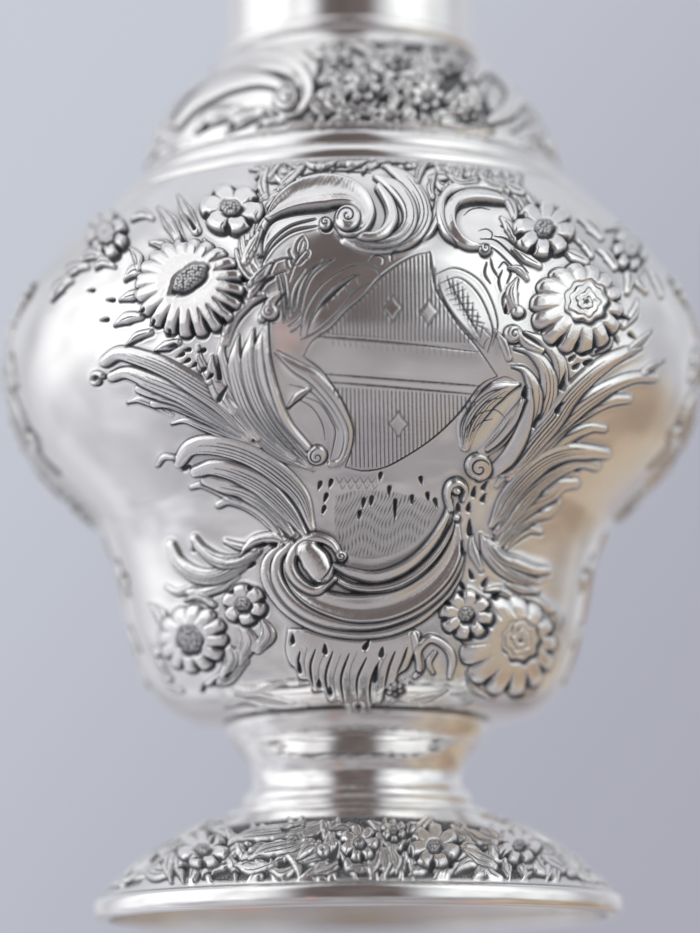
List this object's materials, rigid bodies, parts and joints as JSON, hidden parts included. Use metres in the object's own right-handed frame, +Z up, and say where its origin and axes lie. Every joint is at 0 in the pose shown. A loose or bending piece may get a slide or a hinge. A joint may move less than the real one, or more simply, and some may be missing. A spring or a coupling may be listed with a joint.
{
  "type": "ciborium",
  "caption": "Footed covered cup: bulging waisted bowl on a short stem and domed foot, with a lift-off domed cover, plain drum and small cross finial, chased all round.",
  "frame": {"origin": "on the axis of turning, at the plane the foot stands on", "axes": "+Z up the axis towards the finial; the side with the shield-shaped cartouche faces -Y; +X to the right when facing it"},
  "size_m": [0.0964, 0.0964, 0.186],
  "materials": {
    "silver_polished": "polished silver with fine hand-rubbed scratches",
    "silver_chased": "polished silver raised and chased in relief, with dark tarnish left in the recesses",
    "silver_gilt": "soft gilt over silver on the surfaces that touch the contents",
    "brass_fittings": "dull brass, turned and filed"
  },
  "bodies": {
    "vessel": {"foot_band": "silver_polished", "foot_dome": "silver_chased", "foot_fillet_ring": "silver_polished", "stem_bead_ring": "silver_polished", "stem_spool": "silver_polished", "stem_collar": "silver_polished", "bowl": "silver_chased", "bowl_mouth_ring": "silver_polished", "bowl_boss": "silver_polished", "tie_bolt": "brass_fittings", "foot_plate": "brass_fittings", "tie_washer": "brass_fittings", "tie_nut": "brass_fittings"},
    "cover": {"cover_rim": "silver_polished", "cover_bezel": "silver_gilt", "cover_dome": "silver_chased", "drum_base_ring": "silver_polished", "drum": "silver_polished", "drum_top_ring": "silver_polished", "cover_cap": "silver_chased", "finial_knop": "silver_chased", "finial_cross": "silver_polished", "finial_stud": "brass_fittings", "finial_washer": "brass_fittings", "finial_nut": "brass_fittings"}
  },
  "joints": [
    {"name": "cover_lift", "type": "slide", "parent": "vessel", "child": "cover", "axis": [0, 0, 1], "range_m": [0, 0.08]}
  ]
}
